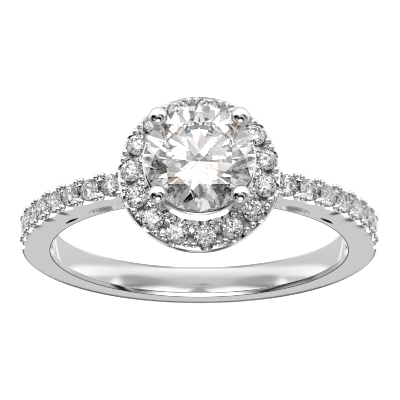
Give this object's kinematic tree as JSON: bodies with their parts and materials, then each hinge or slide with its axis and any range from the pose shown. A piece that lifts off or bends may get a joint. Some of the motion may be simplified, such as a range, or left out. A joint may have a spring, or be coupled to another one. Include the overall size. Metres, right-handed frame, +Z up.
{
  "type": "halo ring",
  "caption": "Finger ring in white gold: a round brilliant in ball prongs inside a halo of small brilliants, with stones along both shoulders of a slim band.",
  "frame": {"origin": "centre of the finger hole, midway along its wall", "axes": "+Z up, with the ring lying on its side; -Y towards the head, which leans up by the tilt at which the ring rests; X across the finger hole"},
  "size_m": [0.0212, 0.0257, 0.0093],
  "materials": {
    "white_gold": "polished",
    "diamond": "faceted"
  },
  "bodies": {
    "root": {"metal_setting": "white_gold", "centre_stone": "diamond", "halo_stone_01": "diamond", "halo_stone_02": "diamond", "halo_stone_03": "diamond", "halo_stone_04": "diamond", "halo_stone_05": "diamond", "halo_stone_06": "diamond", "halo_stone_07": "diamond", "halo_stone_08": "diamond", "halo_stone_09": "diamond", "halo_stone_10": "diamond", "halo_stone_11": "diamond", "halo_stone_12": "diamond", "halo_stone_13": "diamond", "halo_stone_14": "diamond", "halo_stone_15": "diamond", "shoulder_stone_left_1": "diamond", "shoulder_stone_left_2": "diamond", "shoulder_stone_left_3": "diamond", "shoulder_stone_left_4": "diamond", "shoulder_stone_left_5": "diamond", "shoulder_stone_left_6": "diamond", "shoulder_stone_left_7": "diamond", "shoulder_stone_right_1": "diamond", "shoulder_stone_right_2": "diamond", "shoulder_stone_right_3": "diamond", "shoulder_stone_right_4": "diamond", "shoulder_stone_right_5": "diamond", "shoulder_stone_right_6": "diamond", "shoulder_stone_right_7": "diamond"}
  },
  "joints": []
}
